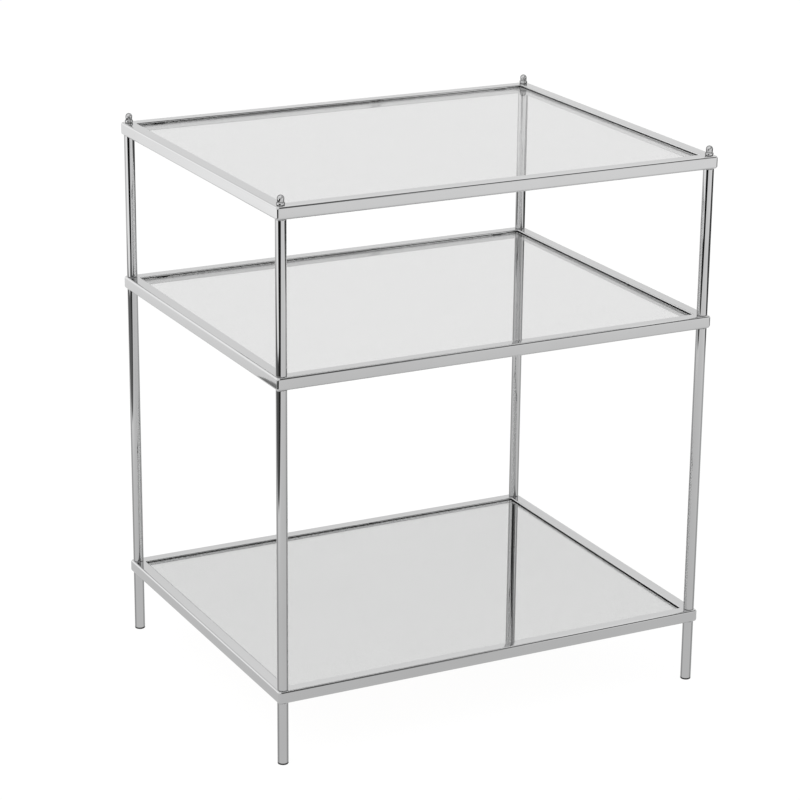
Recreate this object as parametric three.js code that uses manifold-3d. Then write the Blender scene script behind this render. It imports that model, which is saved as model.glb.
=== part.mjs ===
// Three-tier side table. Three welded square-tube frames stand on screwed round
// posts and legs. Two clear glass shelves and one mirror shelf lie loose on
// ledges inside the frames.
// Millimetres, +Z up. The origin is on the floor, under the middle of the table.
// The front is -Y, the left is -X.

import * as THREE from 'three';
import { mergeVertices } from 'three/addons/utils/BufferGeometryUtils.js';
import Module from 'manifold-3d';

// Shelf frames
const FRAME_WIDTH = 559;
const FRAME_DEPTH = 452;
const TUBE = 15;
const TUBE_WALL = 1.2;
const TUBE_EDGE_RADIUS = 2.5;
const FRAME_CORNER_RADIUS = 3;
const BOTTOM_FRAME_Z = 77;
const MIDDLE_FRAME_Z = 450;
const TOP_FRAME_Z = 642;

// Ledge that is welded inside each frame and carries the shelf. The mirror lies
// on a board, so its ledge is lower.
const LEDGE_WIDTH = 4.2;
const LEDGE_THICKNESS = 1.5;
const GLASS_LEDGE_TOP = 6.7;
const MIRROR_LEDGE_TOP = 4.5;
const WELD_DEPTH = 0.6;

// Posts, legs and the screwed joints between them
const POST_DIAMETER = 12.7;
const POST_INSET = 8;
const POST_WALL = 1.2;
const END_CHAMFER = 1;
const PLUG_LENGTH = 14;
const THREAD_BORE = 6;
const STUD_DIAMETER = 5.4;
const STUD_ENGAGEMENT = 10;
const FRAME_HOLE = 6.6;

// Foot glides
const GLIDE_THICKNESS = 1.6;
const GLIDE_ROUNDING = 0.8;
const GLIDE_STEM = 9;

// Finial: a collar, a neck and a domed body
const FINIAL_HEIGHT = 11.5;
const COLLAR_RADIUS = 4.9;
const COLLAR_HEIGHT = 3.6;
const COLLAR_ROUNDING = 1.2;
const NECK_RADIUS = 3.4;
const NECK_HEIGHT = 0.5;
const BODY_RADIUS = 4.1;

// Shelves
const SHELF_CLEARANCE = 1.5;
const SHELF_CORNER_RADIUS = 2;
const SHELF_ARRIS = 0.5;
const GLASS_THICKNESS = 5;
const MIRROR_THICKNESS = 4;
const BOARD_THICKNESS = 3;
const BOARD_CLEARANCE = 2;
const GLUE_GAP = 0.3;

// Bumper strips between each ledge and its shelf
const BUMPER_LENGTH = 16;
const BUMPER_WIDTH = 2;
const BUMPER_THICKNESS = 0.8;
const BUMPER_CORNER_RADIUS = 0.8;
const BUMPER_FROM_CORNER = 30;

// Roundness of the turned pieces
const POST_SIDES = 20;
const SMALL_SIDES = 12;
const FINIAL_SIDES = 20;
const ARC_STEPS = 4;

const INNER_WIDTH = FRAME_WIDTH - 2 * TUBE;
const INNER_DEPTH = FRAME_DEPTH - 2 * TUBE;
const POST_X = FRAME_WIDTH / 2 - POST_INSET;
const POST_Y = FRAME_DEPTH / 2 - POST_INSET;

const CORNERS = [
  { name: 'front_left', x: -1, y: -1 },
  { name: 'front_right', x: 1, y: -1 },
  { name: 'back_left', x: -1, y: 1 },
  { name: 'back_right', x: 1, y: 1 },
];

const chrome = { color: 0xd4d6d8, metalness: 1, roughness: 0.08 };
const zinc = { color: 0xa9acae, metalness: 1, roughness: 0.35 };
const clearGlass = { color: 0xdfe5e4, metalness: 0, roughness: 0.03, transparent: true, opacity: 0.35 };
const silvered = { color: 0xdfe1e2, metalness: 1, roughness: 0.02 };
const hardboard = { color: 0x5a4636, metalness: 0, roughness: 0.85 };
const clearVinyl = { color: 0xe8ebea, metalness: 0, roughness: 0.4 };
const blackPlastic = { color: 0x1b1b1c, metalness: 0, roughness: 0.5 };

const wasm = await Module();
wasm.setup();

const group = new THREE.Group();

function addPiece(name, geometry, finish) {
  const mesh = new THREE.Mesh(geometry, new THREE.MeshStandardMaterial(finish));
  mesh.name = name;
  group.add(mesh);
  return mesh;
}

// ---- Shape helpers ----

// A rectangle centred on the origin, counter-clockwise, with round corners.
function rectanglePoints(width, depth, radius) {
  const steps = radius > 0 ? ARC_STEPS : 0;
  const centres = [[1, 1], [-1, 1], [-1, -1], [1, -1]];
  const points = [];
  centres.forEach(([sideX, sideY], corner) => {
    for (let step = 0; step <= steps; step += 1) {
      const angle = (Math.PI / 2) * (corner + (steps ? step / steps : 0));
      points.push(new THREE.Vector2(
        sideX * (width / 2 - radius) + radius * Math.cos(angle),
        sideY * (depth / 2 - radius) + radius * Math.sin(angle),
      ));
    }
  });
  return points;
}

function rectangleShape(width, depth, radius) {
  return new THREE.Shape(rectanglePoints(width, depth, radius));
}

// A rectangular ring: its outer size and the width of its border.
function ringShape(width, depth, border, radius) {
  const shape = rectangleShape(width, depth, radius);
  shape.holes.push(new THREE.Path(rectanglePoints(width - 2 * border, depth - 2 * border, 0)));
  return shape;
}

// Extrudes a shape between two heights, with its rims rounded by the edge size.
function slab(shape, zLow, zHigh, edge = 0, edgeSteps = 2) {
  const geometry = new THREE.ExtrudeGeometry(shape, {
    depth: zHigh - zLow - 2 * edge,
    bevelEnabled: edge > 0,
    bevelThickness: edge,
    bevelSize: edge,
    bevelOffset: -edge,
    bevelSegments: edgeSteps,
  });
  return geometry.translate(0, 0, zLow + edge);
}

// Turns a profile of [radius, height] points round the Z axis.
function turned(profile, sides) {
  const points = profile.map(([radius, height]) => new THREE.Vector2(radius, height));
  return new THREE.LatheGeometry(points, sides).rotateX(Math.PI / 2);
}

function rod(diameter, zLow, zHigh, sides) {
  const radius = diameter / 2;
  return turned([[0, zLow], [radius, zLow], [radius, zHigh], [0, zHigh]], sides);
}

// ---- Joining and cutting ----

function toSolid(geometry) {
  const bare = geometry.clone();
  bare.deleteAttribute('normal');
  bare.deleteAttribute('uv');
  const merged = mergeVertices(bare, 1e-4);
  return new wasm.Manifold(new wasm.Mesh({
    numProp: 3,
    vertProperties: new Float32Array(merged.attributes.position.array),
    triVerts: new Uint32Array(merged.index.array),
  }));
}

function toGeometry(solid) {
  const mesh = solid.getMesh();
  const geometry = new THREE.BufferGeometry();
  geometry.setAttribute('position', new THREE.BufferAttribute(mesh.vertProperties, 3));
  geometry.setIndex(new THREE.BufferAttribute(mesh.triVerts, 1));
  return geometry;
}

// ---- Frames ----

// One welded frame with its underside at z = 0: a hollow square-tube ring with
// a narrow flat ledge along its inside and a stud hole through each corner.
function frameGeometry(ledgeTop) {
  const tubeRing = slab(
    ringShape(FRAME_WIDTH, FRAME_DEPTH, TUBE, FRAME_CORNER_RADIUS),
    0,
    TUBE,
    TUBE_EDGE_RADIUS,
  );
  const hollow = slab(
    ringShape(
      FRAME_WIDTH - 2 * TUBE_WALL,
      FRAME_DEPTH - 2 * TUBE_WALL,
      TUBE - 2 * TUBE_WALL,
      FRAME_CORNER_RADIUS - TUBE_WALL,
    ),
    TUBE_WALL,
    TUBE - TUBE_WALL,
  );
  const ledge = slab(
    ringShape(INNER_WIDTH + 2 * WELD_DEPTH, INNER_DEPTH + 2 * WELD_DEPTH, LEDGE_WIDTH + WELD_DEPTH, 0),
    ledgeTop - LEDGE_THICKNESS,
    ledgeTop,
  );
  let frame = toSolid(tubeRing).subtract(toSolid(hollow)).add(toSolid(ledge));
  for (const corner of CORNERS) {
    const drill = rod(FRAME_HOLE, -1, TUBE + 1, SMALL_SIDES);
    drill.translate(corner.x * POST_X, corner.y * POST_Y, 0);
    frame = frame.subtract(toSolid(drill));
  }
  return toGeometry(frame);
}

function addFrame(name, z, ledgeTop) {
  addPiece(name, frameGeometry(ledgeTop), chrome).position.z = z;
}

// ---- Posts, legs, studs, glides and finials ----

// A round tube with a threaded plug welded into each end.
function postGeometry(length) {
  const radius = POST_DIAMETER / 2;
  const bore = THREAD_BORE / 2;
  const cavity = radius - POST_WALL;
  return turned([
    [bore, 0],
    [radius - END_CHAMFER, 0],
    [radius, END_CHAMFER],
    [radius, length - END_CHAMFER],
    [radius - END_CHAMFER, length],
    [bore, length],
    [bore, length - PLUG_LENGTH],
    [cavity, length - PLUG_LENGTH],
    [cavity, PLUG_LENGTH],
    [bore, PLUG_LENGTH],
    [bore, 0],
  ], POST_SIDES);
}

// The stud that screws the pieces above and below one frame together.
function studGeometry() {
  return rod(STUD_DIAMETER, -STUD_ENGAGEMENT, TUBE + STUD_ENGAGEMENT, SMALL_SIDES);
}

// A disc that the table stands on, with a stem that is pushed into the leg.
function glideGeometry() {
  const radius = POST_DIAMETER / 2;
  const stem = STUD_DIAMETER / 2;
  return turned([
    [0, 0],
    [radius - GLIDE_ROUNDING, 0],
    [radius - GLIDE_ROUNDING / 4, GLIDE_ROUNDING / 4],
    [radius, GLIDE_ROUNDING],
    [radius, GLIDE_THICKNESS],
    [stem, GLIDE_THICKNESS],
    [stem, GLIDE_THICKNESS + GLIDE_STEM],
    [0, GLIDE_THICKNESS + GLIDE_STEM],
  ], POST_SIDES);
}

// An acorn-shaped finial that stands on z = 0, with its stud below.
function finialGeometry() {
  const stud = STUD_DIAMETER / 2;
  const profile = [
    [0, -TUBE - STUD_ENGAGEMENT],
    [stud, -TUBE - STUD_ENGAGEMENT],
    [stud, 0],
    [COLLAR_RADIUS - COLLAR_ROUNDING / 3, 0],
    [COLLAR_RADIUS, COLLAR_ROUNDING / 2],
    [COLLAR_RADIUS, COLLAR_HEIGHT - COLLAR_ROUNDING],
    [COLLAR_RADIUS - COLLAR_ROUNDING / 2, COLLAR_HEIGHT - COLLAR_ROUNDING / 4],
    [NECK_RADIUS, COLLAR_HEIGHT],
    [NECK_RADIUS, COLLAR_HEIGHT + NECK_HEIGHT],
  ];
  const domeBase = FINIAL_HEIGHT - BODY_RADIUS;
  for (let step = 0; step <= ARC_STEPS; step += 1) {
    const angle = (Math.PI / 2) * (step / ARC_STEPS);
    const radius = step === ARC_STEPS ? 0 : BODY_RADIUS * Math.cos(angle);
    profile.push([radius, domeBase + BODY_RADIUS * Math.sin(angle)]);
  }
  return turned(profile, FINIAL_SIDES);
}

function addAtCorners(label, geometryOf, z, finish) {
  for (const corner of CORNERS) {
    const piece = addPiece(`${label}_${corner.name}`, geometryOf(), finish);
    piece.position.set(corner.x * POST_X, corner.y * POST_Y, z);
  }
}

// ---- Shelves ----

// A flat panel that fits inside a frame with the given clearance all round.
function panelGeometry(thickness, clearance) {
  const shape = rectangleShape(
    INNER_WIDTH - 2 * clearance,
    INNER_DEPTH - 2 * clearance,
    SHELF_CORNER_RADIUS,
  );
  return slab(shape, 0, thickness, SHELF_ARRIS, 1);
}

// Strips that lie along the front and back ledges, flush with their free edge.
function addBumpers(label, ledgeZ) {
  const x = INNER_WIDTH / 2 - BUMPER_FROM_CORNER;
  const y = INNER_DEPTH / 2 - LEDGE_WIDTH + BUMPER_WIDTH / 2;
  const outline = rectangleShape(BUMPER_LENGTH, BUMPER_WIDTH, BUMPER_CORNER_RADIUS);
  for (const corner of CORNERS) {
    const bumper = addPiece(
      `${label}_bumper_${corner.name}`,
      slab(outline, 0, BUMPER_THICKNESS),
      clearVinyl,
    );
    bumper.position.set(corner.x * x, corner.y * y, ledgeZ);
  }
}

function addGlassShelf(label, frameZ) {
  const ledgeZ = frameZ + GLASS_LEDGE_TOP;
  addBumpers(label, ledgeZ);
  const glass = addPiece(`${label}_glass`, panelGeometry(GLASS_THICKNESS, SHELF_CLEARANCE), clearGlass);
  glass.position.z = ledgeZ + BUMPER_THICKNESS;
}

// The mirror is glued to a board that protects its silvering.
function addMirrorShelf(label, frameZ) {
  const ledgeZ = frameZ + MIRROR_LEDGE_TOP;
  addBumpers(label, ledgeZ);
  const boardZ = ledgeZ + BUMPER_THICKNESS;
  const board = addPiece('mirror_backing_board', panelGeometry(BOARD_THICKNESS, BOARD_CLEARANCE), hardboard);
  board.position.z = boardZ;
  const mirror = addPiece(`${label}_mirror`, panelGeometry(MIRROR_THICKNESS, SHELF_CLEARANCE), silvered);
  mirror.position.z = boardZ + BOARD_THICKNESS + GLUE_GAP;
}

// ---- The table ----

addFrame('bottom_frame', BOTTOM_FRAME_Z, MIRROR_LEDGE_TOP);
addFrame('middle_frame', MIDDLE_FRAME_Z, GLASS_LEDGE_TOP);
addFrame('top_frame', TOP_FRAME_Z, GLASS_LEDGE_TOP);

const legLength = BOTTOM_FRAME_Z - GLIDE_THICKNESS;
const lowerLength = MIDDLE_FRAME_Z - BOTTOM_FRAME_Z - TUBE;
const upperLength = TOP_FRAME_Z - MIDDLE_FRAME_Z - TUBE;

addAtCorners('foot_glide', glideGeometry, 0, blackPlastic);
addAtCorners('leg', () => postGeometry(legLength), GLIDE_THICKNESS, chrome);
addAtCorners('lower_post', () => postGeometry(lowerLength), BOTTOM_FRAME_Z + TUBE, chrome);
addAtCorners('upper_post', () => postGeometry(upperLength), MIDDLE_FRAME_Z + TUBE, chrome);
addAtCorners('bottom_stud', studGeometry, BOTTOM_FRAME_Z, zinc);
addAtCorners('middle_stud', studGeometry, MIDDLE_FRAME_Z, zinc);
addAtCorners('finial', finialGeometry, TOP_FRAME_Z + TUBE, chrome);

addGlassShelf('top', TOP_FRAME_Z);
addGlassShelf('middle', MIDDLE_FRAME_Z);
addMirrorShelf('bottom', BOTTOM_FRAME_Z);

export default group;
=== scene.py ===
import math

import bmesh
import bpy
from mathutils import Matrix, Vector


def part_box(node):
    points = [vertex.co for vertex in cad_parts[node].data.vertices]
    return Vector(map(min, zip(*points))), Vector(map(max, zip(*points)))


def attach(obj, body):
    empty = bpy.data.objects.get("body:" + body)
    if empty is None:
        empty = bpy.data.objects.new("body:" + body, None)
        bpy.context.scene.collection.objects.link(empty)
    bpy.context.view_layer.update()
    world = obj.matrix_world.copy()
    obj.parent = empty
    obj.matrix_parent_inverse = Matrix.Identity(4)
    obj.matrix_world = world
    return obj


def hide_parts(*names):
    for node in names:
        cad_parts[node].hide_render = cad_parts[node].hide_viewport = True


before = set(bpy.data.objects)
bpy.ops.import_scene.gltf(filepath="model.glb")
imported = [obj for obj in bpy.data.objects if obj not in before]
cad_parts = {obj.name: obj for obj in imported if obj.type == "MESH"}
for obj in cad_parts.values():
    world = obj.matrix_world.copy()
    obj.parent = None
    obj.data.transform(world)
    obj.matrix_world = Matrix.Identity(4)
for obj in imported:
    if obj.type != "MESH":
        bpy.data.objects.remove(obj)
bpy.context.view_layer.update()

MM = 0.001
CORNERS = ("front_left", "front_right", "back_left", "back_right")
LEVELS = ("bottom", "middle", "top")
TABLE = "table_frame"

# Camera: where it looks from, seen from the table, and its lens
CAMERA_AZIMUTH = math.radians(-27.17)
CAMERA_ELEVATION = math.radians(18.49)
CAMERA_ROLL = math.radians(0.56)
CAMERA_DISTANCE = 3.359
CAMERA_TARGET = Vector((-0.0140, 0.0, 0.3346))
CAMERA_LENS = 124.8
CAMERA_SENSOR = 36.0
CAMERA_REACH = 100.0

# Frames: the outside edges are rounder than the inside ones
EDGE_RADIUS = 2.5 * MM
INNER_EDGE_RADIUS = 1.2 * MM
CORNER_EDGE_RADIUS = 3.0 * MM
FRAME_CORNER_RADIUS = 3.0 * MM
INNER_CORNER_RADIUS = 0.4 * MM
LEDGE_WIDTH = 4.2 * MM
LEDGE_THICKNESS = 1.5 * MM
LEDGE_EDGE = 0.3 * MM
WELD_DEPTH = 0.2 * MM

# Turned pieces
POST_END_RADIUS = 1.0 * MM
COLLAR_RADIUS = 4.9 * MM
COLLAR_HEIGHT = 3.6 * MM
COLLAR_ROUNDING = 1.2 * MM
COLLAR_ROLL_END = 80
NECK_RADIUS = 3.3 * MM
NECK_HEIGHT = 0.25 * MM
FINIAL_BODY_RADIUS = 4.1 * MM
FINIAL_BODY_FOOT = 0.5 * MM
FINIAL_BODY_FOOT_INSET = 0.15 * MM
GLIDE_ROUNDING = 0.8 * MM
GLIDE_THICKNESS = 1.6 * MM
GLIDE_TOP_EDGE = 0.3 * MM

# Shelves
SHELF_CORNER_RADIUS = 2.0 * MM
GLASS_ARRIS = 0.5 * MM
BOARD_ARRIS = 0.3 * MM
SILVER_DEPTH = 0.1 * MM
BUMPER_CORNER_RADIUS = 0.8 * MM
BUMPER_EDGE = 0.5 * MM

# Fineness of the curves
ARC_STEPS = 6
CORNER_STEPS = 16
BUMPER_EDGE_STEPS = 4
GLIDE_EDGE_STEPS = 3
ROUND_SIDES = 72

# The corners of a rectangle, counter-clockwise from the one at +X, +Y
RECTANGLE_CORNERS = ((1, 1), (-1, 1), (-1, -1), (1, -1))


# ---- Camera, floor and light ----


def make_camera():
    back = Vector((
        math.sin(CAMERA_AZIMUTH) * math.cos(CAMERA_ELEVATION),
        -math.cos(CAMERA_AZIMUTH) * math.cos(CAMERA_ELEVATION),
        math.sin(CAMERA_ELEVATION),
    ))
    level_right = Vector((0, 0, 1)).cross(back).normalized()
    level_up = back.cross(level_right)
    right = level_right * math.cos(CAMERA_ROLL) + level_up * math.sin(CAMERA_ROLL)
    up = back.cross(right)
    data = bpy.data.cameras.new("camera")
    data.lens = CAMERA_LENS
    data.sensor_width = CAMERA_SENSOR
    data.clip_end = CAMERA_REACH
    camera = bpy.data.objects.new("camera", data)
    bpy.context.scene.collection.objects.link(camera)
    turn = Matrix((right, up, back)).transposed().to_4x4()
    camera.matrix_world = Matrix.Translation(CAMERA_TARGET + back * CAMERA_DISTANCE) @ turn
    bpy.context.scene.camera = camera


class Nodes:
    """A node tree that is built by short calls."""

    def __init__(self, tree):
        self.tree = tree
        tree.nodes.clear()

    def add(self, kind, inputs=None, **settings):
        node = self.tree.nodes.new(kind)
        for name, value in settings.items():
            setattr(node, name, value)
        for name, value in (inputs or {}).items():
            if isinstance(value, bpy.types.NodeSocket):
                self.tree.links.new(value, node.inputs[name])
            else:
                node.inputs[name].default_value = value
        return node

    def math(self, operation, first, second=0.0):
        node = self.add("ShaderNodeMath", {0: first, 1: second}, operation=operation)
        return node.outputs[0]

    def ramp(self, value, low, high, out_low=0.0, out_high=1.0, smooth=True):
        """value taken from the range low..high to the range out_low..out_high."""
        node = self.add(
            "ShaderNodeMapRange",
            {
                "Value": value,
                "From Min": low,
                "From Max": high,
                "To Min": out_low,
                "To Max": out_high,
            },
            interpolation_type="SMOOTHSTEP" if smooth else "LINEAR",
        )
        return node.outputs["Result"]

    def step(self, value, place, softness):
        """0 before the place and 1 past it. A negative softness turns the step round."""
        return self.ramp(value, place - softness, place + softness)

    def mix(self, factor, first, second):
        node = self.add("ShaderNodeMix", data_type="RGBA")
        for socket, value in ((0, factor), (6, first), (7, second)):
            if isinstance(value, bpy.types.NodeSocket):
                self.tree.links.new(value, node.inputs[socket])
            else:
                node.inputs[socket].default_value = value
        return node.outputs[2]


# The studio round the table, as the chrome mirrors it; the camera sees plain white instead. The
# table stands on white paper, laid on a dark floor. A white board lies beyond it on the left, and
# a small dark sandbag lies on the paper, behind the table on the left.
PAPER_LEFT = -1.1
PAPER_RIGHT = 1.6
BOARD_PLACE = -1.8
BOARD_FRONT = -0.70
LEFT_EDGE_SOFTNESS = 0.04
BOARD_FRONT_SOFTNESS = 0.06
LEFT_FLOOR_BACK = 1.5
LEFT_FLOOR_BACK_SOFTNESS = 0.1
RIGHT_FLOOR_FRONT = -1.7
RIGHT_EDGE_SOFTNESS = 0.10
RIGHT_FLOOR_FRONT_SOFTNESS = 0.15
RIGHT_FLOOR_DARKNESS = 0.9
SANDBAG = (-0.838, 1.035)
SANDBAG_SIZE = (0.044, 0.090)
SANDBAG_DARKNESS = 0.75
SANDBAG_SOFTNESS = 0.08

# Painted light and shade on the paper as the chrome mirrors it, darkest near the table for the
# table's painted shadow. How the paper's brightness changes along "x", along "y" and with the
# "reach" from the table: from one place to another, and from one brightness to another
PAPER_SHADES = (
    ("reach", 0.4, 2.6, 0.75, 1.0),
    ("y", -1.0, 1.2, 0.95, 1.06),
    ("x", -0.8, -1.4, 1.0, 1.25),
    ("x", 0.5, 1.7, 0.96, 1.06),
    ("y", 2.0, 2.9, 0.985, 0.85),
)

# The same for how dark the floor on the left is, along y, and for how bright the air above the
# floor is, along the sine of the elevation
LEFT_FLOOR_SHADE = (-1.1, 0.4, 0.99, 0.84)
AIR_SHADE = (0.34, 0.44, 0.88, 0.96)

# What stands in that air: its direction, half width and softness in degrees, the heights between
# which it shows (sine of the elevation) and how much light it adds or takes. The direction turns
# from +X towards +Y.
STUDIO_WALLS = (
    (240.0, 30.0, 6.0, 0.24, 0.45, -0.95),
    (286.0, 11.0, 1.0, 0.02, 0.58, -0.88),
    (316.0, 20.0, 3.0, 0.40, 0.92, -0.88),
    (45.0, 26.0, 6.0, 0.66, 0.86, 0.30),
    (118.0, 11.0, 3.0, -0.06, 0.40, 0.45),
    (84.0, 12.0, 4.0, 0.45, 0.58, -0.20),
)
WALL_FOOT_SOFTNESS = 0.04
WALL_TOP_SOFTNESS = 0.06

# The floor, which glows by itself almost as brightly as the backdrop
FLOOR_SIZE = 40.0
FLOOR_GLOW = 0.97

# The softboxes: name, place, size and power in watts
SOFTBOXES = (
    ("softbox_left", (-2.2, -0.6, 2.4), 2.0, 26.0),
    ("softbox_right", (2.4, -1.4, 2.0), 1.6, 9.0),
)
SOFTBOX_AIM = Vector((0, 0, 0.35))


def studio_wall(nodes, level, height, wall):
    """1 away from the wall, and 1 + change on it."""
    heading, half_width, softness, lowest, highest, change = wall
    toward = (math.cos(math.radians(heading)), math.sin(math.radians(heading)), 0.0)
    dot = nodes.add("ShaderNodeVectorMath", {0: level, 1: toward}, operation="DOT_PRODUCT")
    across = nodes.ramp(
        dot.outputs["Value"],
        math.cos(math.radians(half_width + softness)),
        math.cos(math.radians(max(half_width - softness, 0.0))),
    )
    above = nodes.step(height, lowest, WALL_FOOT_SOFTNESS)
    below = nodes.step(height, highest, -WALL_TOP_SOFTNESS)
    mask = nodes.math("MULTIPLY", nodes.math("MULTIPLY", across, above), below)
    return nodes.math("ADD", 1.0, nodes.math("MULTIPLY", mask, change))


def is_reflection(nodes):
    """1 for what a shiny surface mirrors, 0 for the rest, such as what is seen through glass."""
    path = nodes.add("ShaderNodeLightPath").outputs
    return nodes.math("SUBTRACT", path["Is Glossy Ray"], path["Is Transmission Ray"])


def make_world():
    """Plain white, but a white studio with dark parts where the chrome mirrors it."""
    world = bpy.data.worlds.new("studio")
    bpy.context.scene.world = world
    world.use_nodes = True
    nodes = Nodes(world.node_tree)
    direction = nodes.add("ShaderNodeTexCoord").outputs["Generated"]
    split = nodes.add("ShaderNodeSeparateXYZ", {0: direction})
    height = split.outputs["Z"]
    flat = nodes.add("ShaderNodeCombineXYZ", {0: split.outputs["X"], 1: split.outputs["Y"]})
    level = nodes.add("ShaderNodeVectorMath", {0: flat.outputs[0]}, operation="NORMALIZE")
    glow = nodes.ramp(height, *AIR_SHADE)
    for wall in STUDIO_WALLS:
        change = studio_wall(nodes, level.outputs["Vector"], height, wall)
        glow = nodes.math("MULTIPLY", glow, change)
    plain = nodes.add("ShaderNodeBackground", {"Color": (1, 1, 1, 1), "Strength": 1.0})
    mirrored = nodes.add("ShaderNodeBackground", {"Color": (1, 1, 1, 1), "Strength": glow})
    choice = nodes.add("ShaderNodeMixShader", {
        0: is_reflection(nodes),
        1: plain.outputs[0],
        2: mirrored.outputs[0],
    })
    nodes.add("ShaderNodeOutputWorld", {"Surface": choice.outputs[0]})


def sandbag_darkness(nodes, place):
    """How dark the sandbag, an ellipse on the floor, makes the place."""
    to_half_size = (2 / SANDBAG_SIZE[0], 2 / SANDBAG_SIZE[1], 0)
    offset = nodes.add("ShaderNodeVectorMath", {0: place, 1: (*SANDBAG, 0)}, operation="SUBTRACT")
    scaled = nodes.add(
        "ShaderNodeVectorMath",
        {0: offset.outputs[0], 1: to_half_size},
        operation="MULTIPLY",
    )
    away = nodes.add("ShaderNodeVectorMath", {0: scaled.outputs[0]}, operation="LENGTH")
    inside, outside = 1 - SANDBAG_SOFTNESS, 1 + SANDBAG_SOFTNESS
    return nodes.ramp(away.outputs["Value"], inside, outside, SANDBAG_DARKNESS, 0.0)


def mirrored_floor(nodes):
    """How bright the studio's floor is in the chrome: paper with painted light and shade, dark
    floor beside it, white board.
    """
    place = nodes.add("ShaderNodeNewGeometry").outputs["Position"]
    split = nodes.add("ShaderNodeSeparateXYZ", {0: place})
    x, y = split.outputs["X"], split.outputs["Y"]
    reach = nodes.add("ShaderNodeVectorMath", {0: place}, operation="LENGTH").outputs["Value"]
    along = {"x": x, "y": y, "reach": reach}
    paper = 1.0
    # Painted light and shade on the paper, darkest round the table for its painted shadow
    for axis, *shade in PAPER_SHADES:
        paper = nodes.math("MULTIPLY", paper, nodes.ramp(along[axis], *shade, smooth=False))
    board = nodes.math(
        "MULTIPLY",
        nodes.step(x, BOARD_PLACE, -LEFT_EDGE_SOFTNESS),
        nodes.step(y, BOARD_FRONT, BOARD_FRONT_SOFTNESS),
    )
    left = nodes.math(
        "MULTIPLY",
        nodes.step(x, PAPER_LEFT, -LEFT_EDGE_SOFTNESS),
        nodes.math("SUBTRACT", 1.0, board),
    )
    left = nodes.math("MULTIPLY", left, nodes.ramp(y, *LEFT_FLOOR_SHADE))
    back = nodes.step(y, LEFT_FLOOR_BACK, -LEFT_FLOOR_BACK_SOFTNESS)
    left = nodes.math("MULTIPLY", left, back)
    right = nodes.math(
        "MULTIPLY",
        nodes.step(x, PAPER_RIGHT, RIGHT_EDGE_SOFTNESS),
        nodes.step(y, RIGHT_FLOOR_FRONT, RIGHT_FLOOR_FRONT_SOFTNESS),
    )
    dark = nodes.math("MAXIMUM", left, nodes.math("MULTIPLY", right, RIGHT_FLOOR_DARKNESS))
    dark = nodes.math("MAXIMUM", dark, sandbag_darkness(nodes, place))
    return nodes.math("MULTIPLY", paper, nodes.math("SUBTRACT", 1.0, dark))


def make_floor():
    bpy.ops.mesh.primitive_plane_add(size=FLOOR_SIZE)
    floor = bpy.context.object
    floor.name = "floor"
    material = bpy.data.materials.new("floor_white")
    material.use_nodes = True
    nodes = Nodes(material.node_tree)
    speckle = nodes.add("ShaderNodeTexNoise", {"Scale": 3.0, "Detail": 2.0}).outputs["Fac"]
    shader = nodes.add("ShaderNodeBsdfPrincipled", {
        "Base Color": nodes.mix(speckle, (0.04, 0.04, 0.04, 1), (0.06, 0.06, 0.06, 1)),
        "Roughness": 0.9,
        "Specular IOR Level": 0.0,
        "Emission Color": (1, 1, 1, 1),
        "Emission Strength": FLOOR_GLOW,
    })
    mirrored = nodes.add("ShaderNodeEmission", {"Strength": mirrored_floor(nodes)})
    choice = nodes.add("ShaderNodeMixShader", {
        0: is_reflection(nodes),
        1: shader.outputs[0],
        2: mirrored.outputs[0],
    })
    nodes.add("ShaderNodeOutputMaterial", {"Surface": choice.outputs[0]})
    floor.data.materials.append(material)


def make_lights():
    """A large softbox above on the left and a weaker one on the right."""
    for name, place, size, power in SOFTBOXES:
        data = bpy.data.lights.new(name, "AREA")
        data.shape = "SQUARE"
        data.size = size
        data.energy = power
        light = bpy.data.objects.new(name, data)
        bpy.context.scene.collection.objects.link(light)
        light.location = place
        aim = SOFTBOX_AIM - light.location
        light.rotation_euler = aim.to_track_quat("-Z", "Y").to_euler()
        light.visible_glossy = False
        light.visible_transmission = False


# ---- Materials ----

CHROME_LIGHT = (0.642, 0.643, 0.645, 1)
CHROME_DARK = (0.602, 0.603, 0.606, 1)
# The colour of the painted shade close to a round piece's outline
CHROME_PAINTED_RIM_SHADE = (0.10, 0.10, 0.10, 1)

# Where a round piece gets darker towards its outline with painted shade, for the dark reflections
# there, and where it brightens again right at the outline: 0 is seen square on, and 1 is edge on
RIM_DARKENS = (0.28, 0.40)
RIM_BRIGHTENS = (0.70, 0.90)
SMEAR_RELIEF = 0.0000003


def new_material(name):
    material = bpy.data.materials.new(name)
    material.use_nodes = True
    nodes = Nodes(material.node_tree)
    place = nodes.add("ShaderNodeTexCoord").outputs["Object"]
    return material, nodes, place


def noise(nodes, place, scale, detail=3.0, roughness=0.5, stretch=(1, 1, 1)):
    mapped = nodes.add("ShaderNodeMapping", {"Vector": place, "Scale": stretch}).outputs[0]
    texture = nodes.add("ShaderNodeTexNoise", {
        "Vector": mapped,
        "Scale": scale,
        "Detail": detail,
        "Roughness": roughness,
    })
    return texture.outputs["Fac"]


def bump(nodes, height, distance, below=None):
    inputs = {"Height": height, "Distance": distance}
    if below is not None:
        inputs["Normal"] = below
    return nodes.add("ShaderNodeBump", inputs).outputs[0]


def finish_material(nodes, inputs):
    shader = nodes.add("ShaderNodeBsdfPrincipled", inputs)
    nodes.add("ShaderNodeOutputMaterial", {"Surface": shader.outputs[0]})


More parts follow.
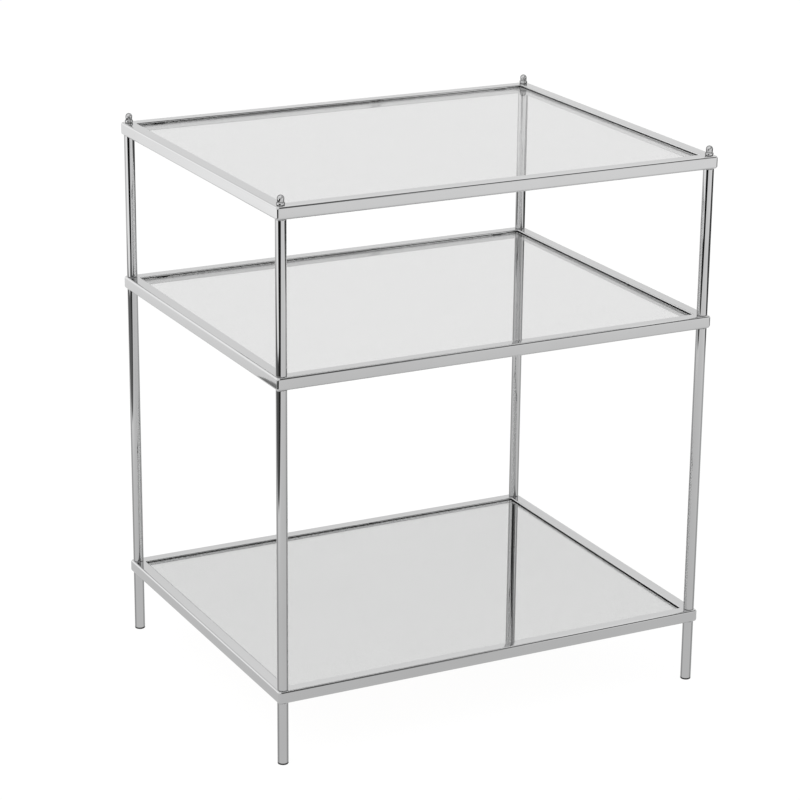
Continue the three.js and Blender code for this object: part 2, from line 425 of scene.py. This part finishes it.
def chrome_material(name, stretch, waviness, roughest, painted_rim_shade=0.0):
    """
    Polished chrome plate: faint clouding, fine polishing lines and a slightly wavy surface. The
    last argument is how much painted shade darkens a round piece close to its outline, for the
    dark reflections there.
    """
    material, nodes, place = new_material(name)
    cloud = noise(nodes, place, scale=14.0, detail=4.0)
    smear = noise(nodes, place, scale=900.0, detail=2.0, stretch=stretch)
    colour = nodes.mix(cloud, CHROME_DARK, CHROME_LIGHT)
    # Painted shade: the colour darkens near a round piece's outline, for the dark reflections
    # there
    if painted_rim_shade:
        facing = nodes.add("ShaderNodeLayerWeight", {"Blend": 0.5}).outputs["Facing"]
        darkening = nodes.ramp(facing, *RIM_DARKENS, 0.0, painted_rim_shade)
        not_the_outline = nodes.ramp(facing, *reversed(RIM_BRIGHTENS))
        painted_rim_shade_mask = nodes.math("MULTIPLY", darkening, not_the_outline)
        colour = nodes.mix(painted_rim_shade_mask, colour, CHROME_PAINTED_RIM_SHADE)
    clouding = nodes.ramp(cloud, 0.3, 0.8, roughest / 2, roughest)
    rough = nodes.math("ADD", clouding, nodes.ramp(smear, 0.4, 0.8, 0.0, roughest / 3))
    wave = bump(nodes, noise(nodes, place, scale=28.0, detail=1.0), waviness)
    lines = bump(nodes, smear, SMEAR_RELIEF, below=wave)
    finish_material(nodes, {
        "Base Color": colour,
        "Metallic": 1.0,
        "Roughness": rough,
        "Normal": lines,
    })
    return material


def satin_material(name, light, dark):
    """Dull plated steel."""
    material, nodes, place = new_material(name)
    grain = noise(nodes, place, scale=700.0)
    cloud = noise(nodes, place, scale=30.0)
    finish_material(nodes, {
        "Base Color": nodes.mix(cloud, dark, light),
        "Metallic": 1.0,
        "Roughness": nodes.ramp(grain, 0.3, 0.7, 0.26, 0.40),
        "Normal": bump(nodes, grain, 0.00001),
    })
    return material


def glass_material(name, light, dark, rough_low, rough_high):
    """Float glass, tinted a little, with faint wiping marks."""
    material, nodes, place = new_material(name)
    marks = noise(nodes, place, scale=9.0, detail=5.0, roughness=0.6, stretch=(1, 2.2, 1))
    finish_material(nodes, {
        "Base Color": nodes.mix(marks, dark, light),
        "Roughness": nodes.ramp(marks, 0.45, 0.75, rough_low, rough_high),
        "Transmission Weight": 1.0,
        "IOR": 1.5,
    })
    return material


def silver_material():
    material, nodes, place = new_material("mirror_silver")
    cloud = noise(nodes, place, scale=6.0)
    finish_material(nodes, {
        "Base Color": nodes.mix(cloud, (0.695, 0.695, 0.695, 1), (0.725, 0.725, 0.724, 1)),
        "Metallic": 1.0,
        "Roughness": nodes.ramp(cloud, 0.3, 0.7, 0.0, 0.015),
    })
    return material


def mirror_paint_material():
    """The grey protective paint on the back of the silvering."""
    material, nodes, place = new_material("mirror_back_paint")
    orange_peel = noise(nodes, place, scale=350.0)
    finish_material(nodes, {
        "Base Color": nodes.mix(orange_peel, (0.20, 0.21, 0.22, 1), (0.25, 0.26, 0.27, 1)),
        "Roughness": nodes.ramp(orange_peel, 0.3, 0.7, 0.45, 0.6),
        "Normal": bump(nodes, orange_peel, 0.00005),
    })
    return material


def board_material():
    """Brown hardboard: pressed fibres, with the woven screen's print on its rough side."""
    material, nodes, place = new_material("hardboard")
    fibre = noise(nodes, place, scale=260.0, detail=6.0, roughness=0.7, stretch=(1, 0.35, 1))
    patch = noise(nodes, place, scale=18.0)
    colour = nodes.mix(fibre, (0.10, 0.052, 0.026, 1), (0.30, 0.18, 0.10, 1))
    colour = nodes.mix(nodes.ramp(patch, 0.3, 0.8, 0.0, 0.35), colour, (0.16, 0.09, 0.05, 1))
    screen = nodes.add("ShaderNodeTexVoronoi", {
        "Vector": place,
        "Scale": 420.0,
        "Randomness": 0.15,
    })
    print_mark = bump(nodes, screen.outputs["Distance"], 0.00025)
    finish_material(nodes, {
        "Base Color": colour,
        "Roughness": nodes.ramp(fibre, 0.3, 0.7, 0.70, 0.88),
        "Normal": bump(nodes, fibre, 0.0001, below=print_mark),
    })
    return material


def vinyl_material():
    material, nodes, place = new_material("clear_vinyl")
    haze = noise(nodes, place, scale=500.0)
    finish_material(nodes, {
        "Base Color": nodes.mix(haze, (0.80, 0.82, 0.81, 1), (0.93, 0.94, 0.94, 1)),
        "Roughness": nodes.ramp(haze, 0.3, 0.7, 0.15, 0.30),
        "Transmission Weight": 0.8,
        "IOR": 1.46,
    })
    return material


def plastic_material():
    """Black moulded plastic with a fine spark-eroded texture and scuffs."""
    material, nodes, place = new_material("black_plastic")
    texture = noise(nodes, place, scale=2600.0)
    scuff = noise(nodes, place, scale=320.0, detail=4.0, roughness=0.6)
    worn = nodes.ramp(scuff, 0.5, 0.8)
    finish_material(nodes, {
        "Base Color": nodes.mix(worn, (0.012, 0.012, 0.013, 1), (0.045, 0.045, 0.047, 1)),
        "Roughness": nodes.ramp(scuff, 0.3, 0.8, 0.38, 0.62),
        "Normal": bump(nodes, texture, 0.00003),
    })
    return material


MATERIALS = {
    "rail": chrome_material(
        "rail_chrome",
        stretch=(1, 1, 0.04),
        waviness=0.00004,
        roughest=0.050,
    ),
    "post": chrome_material(
        "post_chrome",
        stretch=(1, 1, 0.03),
        waviness=0.00003,
        roughest=0.024,
        painted_rim_shade=0.5,
    ),
    "finial": chrome_material(
        "finial_chrome",
        stretch=(1, 1, 1),
        waviness=0.000004,
        roughest=0.020,
        painted_rim_shade=0.85,
    ),
    "stud": satin_material(
        "stud_zinc",
        light=(0.60, 0.61, 0.63, 1),
        dark=(0.50, 0.51, 0.52, 1),
    ),
    "glass": glass_material(
        "shelf_glass",
        light=(0.742, 0.742, 0.741, 1),
        dark=(0.728, 0.729, 0.728, 1),
        rough_low=0.0,
        rough_high=0.006,
    ),
    "glass_edge": glass_material(
        "glass_edge",
        light=(0.76, 0.80, 0.79, 1),
        dark=(0.70, 0.75, 0.74, 1),
        rough_low=0.03,
        rough_high=0.10,
    ),
    "mirror_glass": glass_material(
        "mirror_glass",
        light=(0.960, 0.963, 0.961, 1),
        dark=(0.950, 0.954, 0.952, 1),
        rough_low=0.0,
        rough_high=0.01,
    ),
    "silver": silver_material(),
    "mirror_paint": mirror_paint_material(),
    "board": board_material(),
    "vinyl": vinyl_material(),
    "plastic": plastic_material(),
}


# ---- Mesh building ----


def arc(centre_x, centre_y, radius, start, end, steps):
    """Points of an arc, from the angle start to the angle end, in degrees."""
    points = []
    for step in range(steps + 1):
        angle = math.radians(start + (end - start) * step / steps)
        points.append((centre_x + radius * math.cos(angle), centre_y + radius * math.sin(angle)))
    return points


def rectangle(width, depth, radius):
    """A rectangle round the origin with round corners, counter-clockwise."""
    points = []
    for corner, (side_x, side_y) in enumerate(RECTANGLE_CORNERS):
        points += arc(
            side_x * (width / 2 - radius),
            side_y * (depth / 2 - radius),
            radius,
            90 * corner,
            90 * corner + 90,
            CORNER_STEPS,
        )
    return points


class Shape:
    """A mesh that is built from loops of vertices."""

    def __init__(self):
        self.bm = bmesh.new()

    def loop(self, points, z):
        return [self.bm.verts.new((x, y, z)) for x, y in points]

    def loop_3d(self, points):
        return [self.bm.verts.new(point) for point in points]

    def skin(self, lower, upper, material=0):
        count = len(lower)
        for index in range(count):
            following = (index + 1) % count
            corners = (lower[index], lower[following], upper[following], upper[index])
            self.bm.faces.new(corners).material_index = material

    def cap(self, loop, upward, material=0):
        face = self.bm.faces.new(loop if upward else loop[::-1])
        face.material_index = material

    def fan(self, loop, point, upward):
        count = len(loop)
        for index in range(count):
            ends = (loop[index], loop[(index + 1) % count])
            self.bm.faces.new((*ends, point) if upward else (ends[1], ends[0], point))

    def piece(self, name, finishes, slot_name, body, nodes=(), place=(0, 0, 0)):
        """Turns the mesh into a piece that rides on a body and stands for CAD nodes."""
        mesh = bpy.data.meshes.new(name)
        bmesh.ops.translate(self.bm, verts=self.bm.verts, vec=Vector(place))
        bmesh.ops.recalc_face_normals(self.bm, faces=self.bm.faces)
        self.bm.to_mesh(mesh)
        self.bm.free()
        for polygon in mesh.polygons:
            polygon.use_smooth = True
        for finish in finishes:
            mesh.materials.append(MATERIALS[finish])
        piece = bpy.data.objects.new(name, mesh)
        bpy.context.scene.collection.objects.link(piece)
        weighted = piece.modifiers.new("weighted_normals", "WEIGHTED_NORMAL")
        weighted.keep_sharp = True
        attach(piece, body)
        if nodes:
            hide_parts(*nodes)
        return piece


def middle_of(low, high):
    return Vector(((low.x + high.x) / 2, (low.y + high.y) / 2, low.z))


def outer_loop(width, depth, height, corner_radius, edge, corner_edge, turn, rising):
    """
    One loop of a ring's outer rounding. turn goes from 0 where the rounding leaves the side to 90
    where it meets the top or the bottom. The rounding's radius grows from edge on the straight
    sides to corner_edge in the middle of each corner.
    """
    across, up = math.cos(math.radians(turn)), math.sin(math.radians(turn))
    points = []
    for corner, (side_x, side_y) in enumerate(RECTANGLE_CORNERS):
        for step in range(CORNER_STEPS + 1):
            share = step / CORNER_STEPS
            rounding = edge + (corner_edge - edge) * math.sin(math.pi * share) ** 2
            reach = corner_radius - rounding * (1 - across)
            angle = math.pi / 2 * (corner + share)
            climb = rounding * (1 - up)
            points.append((
                side_x * (width / 2 - corner_radius) + reach * math.cos(angle),
                side_y * (depth / 2 - corner_radius) + reach * math.sin(angle),
                height - climb if rising else climb,
            ))
    return points


def ring_shape(width, depth, height, border, outer_radius, edge, corner_edge, inner_edge):
    """A rectangular ring with rounded edges, which can be rounder at its outer corners."""
    shape = Shape()
    turns = [90 * step / ARC_STEPS for step in range(ARC_STEPS + 1)]
    outer = (width, depth, height, outer_radius, edge, corner_edge)
    loops = [shape.loop_3d(outer_loop(*outer, turn, False)) for turn in reversed(turns)]
    loops += [shape.loop_3d(outer_loop(*outer, turn, True)) for turn in turns]
    quarter = arc(0, 0, inner_edge, 0, 90, ARC_STEPS)
    section = [
        (inner_edge - along, height - inner_edge + rise)
        for along, rise in reversed(quarter)
    ]
    section += [(inner_edge - along, inner_edge - rise) for along, rise in quarter]
    for inset, z in section:
        inner_width = width - 2 * border + 2 * inset
        inner_depth = depth - 2 * border + 2 * inset
        outline = rectangle(inner_width, inner_depth, INNER_CORNER_RADIUS + inset)
        loops.append(shape.loop(outline, z))
    for lower, upper in zip(loops, loops[1:] + loops[:1]):
        shape.skin(lower, upper)
    return shape


def stack_shape(width, depth, corner_radius, levels, side_material=0):
    """A flat piece with rounded corners. levels gives each outline's inset and height, upward."""
    shape = Shape()
    loops = [
        shape.loop(rectangle(width - 2 * inset, depth - 2 * inset, corner_radius - inset), z)
        for inset, z in levels
    ]
    for lower, upper in zip(loops, loops[1:]):
        shape.skin(lower, upper, side_material)
    shape.cap(loops[0], upward=False)
    shape.cap(loops[-1], upward=True)
    return shape


def turned_shape(profile):
    """A profile of (radius, height) points from the foot to the top, turned round the Z axis."""
    shape = Shape()
    loops = []
    for radius, z in profile:
        if radius > 0:
            circle = arc(0, 0, radius, 0, 360, ROUND_SIDES)[:-1]
            loops.append(shape.loop(circle, z))
        else:
            loops.append(shape.bm.verts.new((0, 0, z)))
    for lower, upper in zip(loops, loops[1:]):
        if isinstance(lower, list) and isinstance(upper, list):
            shape.skin(lower, upper)
        elif isinstance(upper, list):
            shape.fan(upper, lower, upward=False)
        else:
            shape.fan(lower, upper, upward=True)
    return shape


# ---- The table's pieces ----


def make_frame(level):
    node = f"{level}_frame"
    low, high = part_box(node)
    size = high - low
    tube = size.z
    ring = ring_shape(
        size.x,
        size.y,
        tube,
        tube,
        FRAME_CORNER_RADIUS,
        EDGE_RADIUS,
        CORNER_EDGE_RADIUS,
        INNER_EDGE_RADIUS,
    )
    ring.piece(f"{node}_tube", ("rail",), "frame_chrome", TABLE, [node], middle_of(low, high))
    ledge = ring_shape(
        size.x - 2 * tube + 2 * WELD_DEPTH,
        size.y - 2 * tube + 2 * WELD_DEPTH,
        LEDGE_THICKNESS,
        LEDGE_WIDTH + WELD_DEPTH,
        2 * LEDGE_EDGE,
        LEDGE_EDGE,
        LEDGE_EDGE,
        LEDGE_EDGE,
    )
    place = middle_of(low, high)
    place.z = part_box(f"{level}_bumper_front_left")[0].z - LEDGE_THICKNESS
    ledge.piece(f"{node}_ledge", ("rail",), "frame_chrome", TABLE, place=place)


def make_post(label, corner):
    node = f"{label}_{corner}"
    low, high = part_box(node)
    radius = (high.x - low.x) / 2
    length = high.z - low.z
    end = POST_END_RADIUS
    profile = [(0, 0), (radius - end, 0)]
    profile += arc(radius - end, end, end, -90, 0, ARC_STEPS)[1:]
    profile += arc(radius - end, length - end, end, 0, 90, ARC_STEPS)
    profile += [(0, length)]
    post = turned_shape(profile)
    post.piece(f"{node}_tube", ("post",), "post_chrome", TABLE, [node], middle_of(low, high))


def make_finial(corner):
    """A collar with rolled edges, a neck and a domed body, over the frame's top face."""
    node = f"finial_{corner}"
    low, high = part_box(node)
    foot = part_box("top_frame")[1].z
    height = high.z - foot
    roll = COLLAR_ROUNDING
    profile = [(0, 0), (COLLAR_RADIUS - roll, 0)]
    profile += arc(COLLAR_RADIUS - roll, roll, roll, -90, 0, ARC_STEPS)[1:]
    profile += arc(
        COLLAR_RADIUS - roll,
        COLLAR_HEIGHT - roll,
        roll,
        0,
        COLLAR_ROLL_END,
        ARC_STEPS,
    )
    profile += [
        (NECK_RADIUS, COLLAR_HEIGHT),
        (NECK_RADIUS, COLLAR_HEIGHT + NECK_HEIGHT),
        (FINIAL_BODY_RADIUS - FINIAL_BODY_FOOT_INSET, COLLAR_HEIGHT + FINIAL_BODY_FOOT),
    ]
    dome_base = height - FINIAL_BODY_RADIUS
    profile += arc(0, dome_base, FINIAL_BODY_RADIUS, 0, 90, 2 * ARC_STEPS)[:-1]
    profile += [(0, height)]
    place = middle_of(low, high)
    place.z = foot
    finial = turned_shape(profile)
    finial.piece(f"{node}_head", ("finial",), "finial_chrome", TABLE, [node], place)


def make_glide(corner):
    node = f"foot_glide_{corner}"
    low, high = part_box(node)
    radius = (high.x - low.x) / 2
    foot = GLIDE_ROUNDING
    edge = GLIDE_TOP_EDGE
    profile = [(0, 0), (radius - foot, 0)]
    profile += arc(radius - foot, foot, foot, -90, 0, ARC_STEPS)[1:]
    profile += arc(radius - edge, GLIDE_THICKNESS - edge, edge, 0, 90, GLIDE_EDGE_STEPS)
    profile += [(0, GLIDE_THICKNESS)]
    glide = turned_shape(profile)
    glide.piece(f"{node}_pad", ("plastic",), "glide_plastic", TABLE, [node], middle_of(low, high))


def make_bumper(level, corner):
    """A clear stick-on strip with a rounded top, that the shelf presses flat in the middle."""
    node = f"{level}_bumper_{corner}"
    low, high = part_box(node)
    size = high - low
    quarter = arc(0, 0, BUMPER_EDGE, 0, 90, BUMPER_EDGE_STEPS)
    levels = [(0.0, 0.0)]
    levels += [(BUMPER_EDGE - along, size.z - BUMPER_EDGE + rise) for along, rise in quarter]
    shape = stack_shape(size.x, size.y, BUMPER_CORNER_RADIUS, levels)
    shape.piece(f"{node}_strip", ("vinyl",), "bumper_vinyl", TABLE, [node], middle_of(low, high))


def make_panel(node, body, finishes, slot_name, arris):
    """A panel with bevelled edges. The last of the finishes is that of its sides."""
    low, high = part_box(node)
    size = high - low
    levels = ((arris, 0.0), (0.0, arris), (0.0, size.z - arris), (arris, size.z))
    sides = len(finishes) - 1
    shape = stack_shape(size.x, size.y, SHELF_CORNER_RADIUS, levels, sides)
    shape.piece(f"{node}_sheet", finishes, slot_name, body, [node], middle_of(low, high))


def make_silvering():
    """The silver and its paint, on the back of the mirror's glass."""
    low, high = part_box("bottom_mirror")
    width = high.x - low.x - 2 * GLASS_ARRIS
    depth = high.y - low.y - 2 * GLASS_ARRIS
    shape = Shape()
    outline = rectangle(width, depth, SHELF_CORNER_RADIUS - GLASS_ARRIS)
    lower = shape.loop(outline, -SILVER_DEPTH)
    upper = shape.loop(outline, SILVER_DEPTH)
    shape.skin(lower, upper, 1)
    shape.cap(lower, upward=False, material=1)
    shape.cap(upper, upward=True, material=0)
    shape.piece(
        "mirror_silvering",
        ("silver", "mirror_paint"),
        "mirror_glass",
        "bottom_shelf",
        place=middle_of(low, high),
    )


def finish_studs():
    """The studs are inside the table, so they stay as the CAD made them, in zinc plate."""
    for label in ("bottom_stud", "middle_stud"):
        for corner in CORNERS:
            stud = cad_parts[f"{label}_{corner}"]
            stud.data.materials.clear()
            stud.data.materials.append(MATERIALS["stud"])


def make_table():
    for level in LEVELS:
        make_frame(level)
        for corner in CORNERS:
            make_bumper(level, corner)
    for corner in CORNERS:
        make_glide(corner)
        make_finial(corner)
        for label in ("leg", "lower_post", "upper_post"):
            make_post(label, corner)
    glass, mirror = ("glass", "glass_edge"), ("mirror_glass", "glass_edge")
    make_panel("top_glass", "top_shelf", glass, "shelf_glass", GLASS_ARRIS)
    make_panel("middle_glass", "middle_shelf", glass, "shelf_glass", GLASS_ARRIS)
    make_panel("bottom_mirror", "bottom_shelf", mirror, "mirror_glass", GLASS_ARRIS)
    make_panel("mirror_backing_board", "bottom_shelf", ("board",), "backing_board", BOARD_ARRIS)
    make_silvering()
    finish_studs()


bpy.context.scene.view_settings.view_transform = "Standard"
make_camera()
make_world()
make_floor()
make_lights()
make_table()
